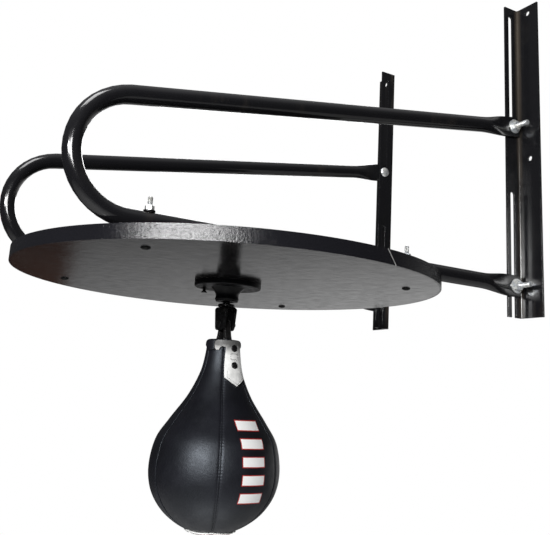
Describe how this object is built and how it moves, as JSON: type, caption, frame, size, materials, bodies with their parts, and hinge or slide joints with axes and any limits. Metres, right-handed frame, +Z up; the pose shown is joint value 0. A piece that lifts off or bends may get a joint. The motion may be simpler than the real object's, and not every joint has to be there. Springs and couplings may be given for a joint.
{
  "type": "speed bag platform",
  "caption": "Round rebound board on bent-tube arms and slotted wall uprights, with a ball swivel and a hanging leather bag.",
  "frame": {"origin": "on the wall plane, midway between the uprights, level with the board's underside", "axes": "+Z up, +Y into the wall so the board stands out along -Y, +X to the right seen from in front"},
  "size_m": [0.61, 0.733, 0.8491],
  "materials": {
    "upright_paint": "gloss black paint on hot-rolled angle",
    "arm_paint": "gloss black paint on steel tube",
    "zinc": "bright zinc plating",
    "black_steel": "black oxide with light oil",
    "laminate": "gloss black laminate on fibreboard",
    "edge_band": "pebbled black edge banding",
    "housing_paint": "black painted casting",
    "black_leather": "glossy black leather with fine grain",
    "pale_leather": "natural pale grey leather",
    "webbing": "matt black strap leather",
    "latex": "natural latex"
  },
  "bodies": {
    "wall_frame": {"right_upright": "upright_paint", "left_upright": "upright_paint"},
    "platform": {"right_arm": "arm_paint", "left_arm": "arm_paint", "arm_bolt_right_lower": "zinc", "arm_washer_right_lower": "zinc", "arm_nut_right_lower": "zinc", "arm_bolt_right_upper": "zinc", "arm_washer_right_upper": "zinc", "arm_nut_right_upper": "zinc", "board_bolt_right_front": "zinc", "board_washer_right_front": "black_steel", "board_nut_right_front": "zinc", "board_bolt_right_rear": "zinc", "board_washer_right_rear": "black_steel", "board_nut_right_rear": "zinc", "arm_bolt_left_lower": "zinc", "arm_washer_left_lower": "zinc", "arm_nut_left_lower": "zinc", "arm_bolt_left_upper": "zinc", "arm_washer_left_upper": "zinc", "arm_nut_left_upper": "zinc", "board_bolt_left_front": "zinc", "board_washer_left_front": "black_steel", "board_nut_left_front": "zinc", "board_bolt_left_rear": "zinc", "board_washer_left_rear": "black_steel", "board_nut_left_rear": "zinc", "board": "laminate", "rim_band": "edge_band", "swivel_housing": "housing_paint", "flange_screw_1": "black_steel", "flange_screw_2": "black_steel", "flange_screw_3": "black_steel", "flange_screw_4": "black_steel"},
    "swivel_cup": {"bearing_cup": "black_steel"},
    "hook": {"ball_stud": "black_steel", "stud_collar": "black_steel", "clevis": "black_steel", "clevis_pin": "black_steel", "pin_nut": "black_steel"},
    "bag": {"hanging_loop": "webbing", "bag_casing": "black_leather", "front_tab": "pale_leather", "rear_tab": "pale_leather", "front_rivet_upper": "black_steel", "front_rivet_lower": "black_steel", "rear_rivet_upper": "black_steel", "rear_rivet_lower": "black_steel", "bladder": "latex", "bladder_valve": "latex", "bottom_patch": "pale_leather"}
  },
  "joints": [
    {"name": "height_adjust", "type": "slide", "parent": "wall_frame", "child": "platform", "axis": [0, 0, 1], "range_m": [0, 0.145]},
    {"name": "swivel_spin", "type": "hinge", "parent": "platform", "child": "swivel_cup", "pos_m": [0, -0.428, -0.016], "axis": [0, 0, 1], "continuous": true},
    {"name": "ball_tilt", "type": "hinge", "parent": "swivel_cup", "child": "hook", "pos_m": [0, -0.428, -0.016], "axis": [-0.1564, 0.9877, 0], "range_deg": [-14, 14]},
    {"name": "bag_swing", "type": "hinge", "parent": "hook", "child": "bag", "pos_m": [0, -0.428, -0.06], "axis": [-0.1564, 0.9877, 0], "range_deg": [-64, 64]}
  ]
}
